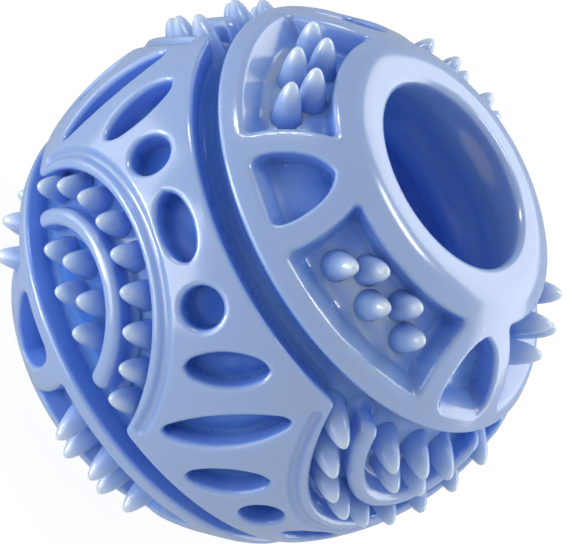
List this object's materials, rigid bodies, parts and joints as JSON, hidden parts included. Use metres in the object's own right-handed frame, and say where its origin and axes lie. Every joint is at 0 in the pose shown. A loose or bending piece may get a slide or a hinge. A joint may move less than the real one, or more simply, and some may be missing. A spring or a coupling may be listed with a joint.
{
  "type": "treat dispensing ball",
  "caption": "Hollow rubber chew ball with a round mouth at each end, openwork caps, a belt with engraved pockets, and soft spikes in the recesses.",
  "frame": {"origin": "centre of the ball, midway between its two mouths", "axes": "+Z along the mouth axis, out of the upper mouth; +X through the middle of a bite that lies below the middle plane"},
  "size_m": [0.075, 0.075, 0.0628],
  "materials": {
    "core": "glossy translucent light blue",
    "shell": "glossy translucent light blue",
    "spikes": "glossy translucent pale blue"
  },
  "bodies": {
    "root": {"core_upper_half": "core", "core_lower_half": "core", "upper_cap": "shell", "lower_cap": "shell", "belt": "shell", "arch_ridge_1": "shell", "arch_ridge_2": "shell", "arch_ridge_3": "shell", "arch_ridge_4": "shell", "bite_spikes_1": "spikes", "bite_spikes_2": "spikes", "bite_spikes_3": "spikes", "bite_spikes_4": "spikes", "upper_window_spikes_1": "spikes", "upper_window_spikes_2": "spikes", "upper_window_spikes_3": "spikes", "upper_window_spikes_4": "spikes", "lower_window_spikes_1": "spikes", "lower_window_spikes_2": "spikes", "lower_window_spikes_3": "spikes", "lower_window_spikes_4": "spikes"}
  },
  "joints": []
}
